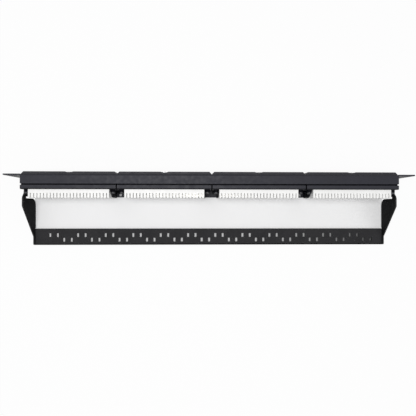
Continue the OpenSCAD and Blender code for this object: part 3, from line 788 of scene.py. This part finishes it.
class PATCHPANEL_OT_screws(Operator):
    """Model the pan-head screws that hold the modules"""
    bl_idname = "patchpanel.screws"
    bl_label = "Screws"

    def recess_cutter(self, radius):
        """A tapered cross that cuts the driver recess."""
        bpy.ops.mesh.primitive_cube_add(size=RECESS_WIDTH)
        cross = bpy.context.object
        with editing(cross):
            for axis in range(2):
                for side in (-1, 1):
                    choose(cross, lambda f: f.normal[axis] * side > 0.9
                           and abs(f.calc_center_median()[1 - axis]) < 0.1 * MM)
                    step = [0, 0, 0]
                    step[axis] = side * radius * 0.42
                    extrude(step)
            choose(cross, lambda v: v.co.z > 0, "verts")
            bpy.ops.transform.translate(value=(0, 0, RECESS_RISE))
            choose(cross, lambda v: v.co.z < 0, "verts")
            bpy.ops.transform.resize(value=(0.7, 0.7, 1))
        return cross

    def screw(self, head_r, head_h, shank_r, shank_l, tip):
        """A pan head with a rounded crown and a plain shank with a blunt tip, crown along +Z."""
        bpy.ops.mesh.primitive_cylinder_add(vertices=32, radius=head_r, depth=head_h,
                                            location=(0, 0, head_h / 2))
        screw = bpy.context.object
        settle(screw)
        with editing(screw, "EDGE"):
            choose(screw, lambda e: all(v.co.z > head_h * 0.9 for v in e.verts), "edges")
            bpy.ops.mesh.bevel(offset=head_h * 0.72, segments=5, profile=0.5, clamp_overlap=True)
        with editing(screw):
            choose(screw, lambda f: f.normal.z < -0.9 and f.calc_center_median().z < head_h * 0.1)
            bpy.ops.mesh.inset(thickness=head_r - shank_r)
            extrude((0, 0, -shank_l))
            bpy.ops.mesh.inset(thickness=shank_r * 0.3)
            bpy.ops.transform.translate(value=(0, 0, -tip))
        return screw

    def execute(self, context):
        low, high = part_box("module_screws")
        plate = plated("dark_zinc_plate", context.scene.patchpanel_colours.screw, rough=(0.44, 0.6))
        head_r = (high.z - low.z) / 2
        tip = SCREW_SHANK_R * 0.2
        shank_l = high.y - SCREW_HEAD_H - low.y - tip
        deselect()
        first = self.screw(head_r, SCREW_HEAD_H, SCREW_SHANK_R, shank_l, tip)
        cutter = self.recess_cutter(head_r)
        settle(cutter, Matrix.Translation((0, 0, SCREW_HEAD_H - RECESS_SINK)))
        apply_modifier(first, "BOOLEAN", operation="DIFFERENCE", object=cutter, solver="EXACT")
        bpy.data.objects.remove(cutter)
        smooth(first, 35)
        dress(first, plate)
        seat = Matrix.Translation((0, high.y - SCREW_HEAD_H, (low.z + high.z) / 2))
        settle(first, seat @ TO_REAR)
        reach = high.x - head_r - middle("rear_housing_4").x
        screws = []
        for m in MODULES:
            for side in (-1, 1):
                x = middle(f"rear_housing_{m}").x + side * reach
                screws.append(copied(first, f"screw_{m}_{side}", Vector((x, 0, 0))))
        bpy.data.objects.remove(first)
        pick(*screws)
        bpy.ops.object.join()
        screw_set = bpy.context.object
        screw_set.name = "pan_head_screws"
        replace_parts(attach(screw_set, BODY), "module_screws")
        return {"FINISHED"}


class PATCHPANEL_OT_stage(Operator):
    """Set the floor, the lamps and the camera"""
    bl_idname = "patchpanel.stage"
    bl_label = "Floor, light and camera"

    def seen_white(self, tree, plain, white, share=None):
        """Mix plain white into what the camera, glossy and clear surfaces see."""
        path = tree.nodes.new("ShaderNodeLightPath").outputs
        seen = path["Is Camera Ray"]
        for name in ("Is Glossy Ray", "Is Transmission Ray"):
            seen = joined(tree, "MAXIMUM", seen, path[name])
        if share is not None:
            seen = joined(tree, "MULTIPLY", seen, share)
        mix = tree.nodes.new("ShaderNodeMixShader")
        for socket, source in zip(mix.inputs, (seen, plain, white)):
            tree.links.new(source, socket)
        return mix.outputs[0]

    def within(self, finish, front, rear, half_width):
        """A factor for the floor: 1 in a rectangle across the middle of the panel, 0 around it."""
        half = (rear - front) / 2
        place = finish.node("ShaderNodeMapping", {
            "Vector": finish.place, "Scale": (1 / half_width, 1 / half, 0),
            "Location": (0, -(front + half) / half, 0)}).outputs[0]
        off = finish.node("ShaderNodeVectorMath", {0: place}, operation="ABSOLUTE").outputs[0]
        edge = finish.math("MAXIMUM", finish.axis(off, 0), finish.axis(off, 1))
        return finish.spread(edge, 1.0, 0.0, 0.997, 1.003)

    def shaded(self, finish, rgb, base, clear):
        """The floor's base colour, darker close under the panel and bar, and most at one end.

        clear is a factor that is 1 where nothing lies over the floor.
        """
        inputs = {"Distance": SHADE_REACH}
        near = finish.node("ShaderNodeAmbientOcclusion", inputs, samples=16).outputs["AO"]
        near = finish.spread(near, 0.0, 1.0, 0.35, 1.0)
        start, end = (CAD_BOX[0].x * share for share in SHADE_ALONG)
        along = finish.spread(finish.axis(finish.place, 0), 0.0, 1.0, start, end)
        shade = finish.blend(along, scaled(rgb, 0.01), scaled(rgb, 0.8))
        return finish.blend(finish.math("MAXIMUM", near, clear), shade, base)

    def floor(self, stage):
        """A wide pale floor, shaded under the panel and bar, and near white to the eye around."""
        bpy.ops.mesh.primitive_plane_add(size=FLOOR_SIZE, location=(0, 0, CAD_BOX[0].z))
        floor = bpy.context.object
        floor.name = "pale_floor"
        settle(floor)
        finish = Finish("pale_floor", Roughness=0.9, Specular_IOR_Level=0.1)
        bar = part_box("cable_bar")[1]
        enclosed = self.within(finish, SHADE_FRONT, bar.y - SHADE_REAR, bar.x)
        around = finish.spread(enclosed, 1.0, 0.0, 0.0, 1.0)
        open_floor = self.within(finish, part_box("panel_frame")[1].y, bar.y - BAR_WIDTH, bar.x)
        clear = finish.math("MAXIMUM", open_floor, around)
        mottle = finish.spread(finish.noise(3.0), 0.0, 1.0)
        base = finish.blend(mottle, stage.floor, scaled(stage.floor, 0.99))
        finish.colour(self.shaded(finish, stage.floor, base, clear))
        outside = finish.spread(around, 0.0, stage.glow_outside, 0.0, 1.0)
        inside = finish.spread(open_floor, 0.0, stage.glow_inside, 0.0, 1.0)
        share = finish.math("MAXIMUM", outside, inside)
        glow = finish.node("ShaderNodeEmission").outputs[0]
        tree = finish.material.node_tree
        surface = self.seen_white(tree, finish.shader.outputs[0], glow, share)
        out = next(n for n in finish.nodes if n.type == "OUTPUT_MATERIAL")
        tree.links.new(surface, out.inputs["Surface"])
        dress(floor, finish.material)

    def world(self, scene, stage):
        """An even dome of light that looks plain white."""
        scene.world = bpy.data.worlds.new("soft_dome")
        scene.world.use_nodes = True
        tree = scene.world.node_tree
        dome = next(n for n in tree.nodes if n.type == "BACKGROUND")
        white = tree.nodes.new("ShaderNodeBackground")
        for background in (dome, white):
            background.inputs["Color"].default_value = (1, 1, 1, 1)
        dome.inputs["Strength"].default_value = stage.dome
        surface = self.seen_white(tree, dome.outputs[0], white.outputs[0])
        out = next(n for n in tree.nodes if n.type == "OUTPUT_WORLD")
        tree.links.new(surface, out.inputs["Surface"])

    def lamp(self, name, power, size, place, aim):
        """A soft rectangular lamp that points at its aim."""
        bpy.ops.object.light_add(type="AREA", location=place)
        lamp = bpy.context.object
        lamp.name = name
        lamp.data.energy = power
        lamp.data.shape = "RECTANGLE"
        lamp.data.size, lamp.data.size_y = size
        lamp.rotation_euler = (Vector(aim) - Vector(place)).to_track_quat("-Z", "Y").to_euler()

    def execute(self, context):
        scene = context.scene
        stage = scene.patchpanel_stage
        deselect()
        self.floor(stage)
        self.world(scene, stage)
        self.lamp("overhead_lamp", stage.key, *OVERHEAD_LAMP)
        self.lamp("side_lamp", stage.side, *SIDE_LAMP)
        bpy.ops.object.camera_add(location=stage.eye, rotation=stage.turn)
        camera = context.object
        camera.data.sensor_width = 36
        camera.data.lens = stage.lens
        camera.data.clip_start = 0.01
        scene.camera = camera
        scene.view_settings.view_transform = "Standard"
        return {"FINISHED"}


STEPS = (PATCHPANEL_OT_stage, PATCHPANEL_OT_steel, PATCHPANEL_OT_bezels, PATCHPANEL_OT_housings,
         PATCHPANEL_OT_strips, PATCHPANEL_OT_boards, PATCHPANEL_OT_ports, PATCHPANEL_OT_numbers,
         PATCHPANEL_OT_labels, PATCHPANEL_OT_screws)


class PATCHPANEL_PT_sidebar(Panel):
    """Steps that dress the patch panel."""
    bl_idname = "PATCHPANEL_PT_sidebar"
    bl_label = "Patch panel"
    bl_space_type = "VIEW_3D"
    bl_region_type = "UI"
    bl_category = "Patch panel"

    def draw(self, context):
        """One button for each step."""
        for step in STEPS:
            self.layout.operator(step.bl_idname)


GROUPS = {"patchpanel_colours": PatchPanelColours, "patchpanel_sizes": PatchPanelSizes,
          "patchpanel_stage": PatchPanelStage}


def register():
    """Register the properties, the operators and the panel."""
    for group in GROUPS.values():
        bpy.utils.register_class(group)
    for name, group in GROUPS.items():
        setattr(bpy.types.Scene, name, PointerProperty(type=group))
    for step in (*STEPS, PATCHPANEL_PT_sidebar):
        bpy.utils.register_class(step)


def unregister():
    """Take all of it out again."""
    for step in reversed((*STEPS, PATCHPANEL_PT_sidebar)):
        bpy.utils.unregister_class(step)
    for name, group in GROUPS.items():
        delattr(bpy.types.Scene, name)
        bpy.utils.unregister_class(group)


def main():
    """Dress the whole part in order."""
    register()
    for step in STEPS:
        group, name = step.bl_idname.split(".")
        getattr(getattr(bpy.ops, group), name)()


if __name__ == "__main__":
    main()
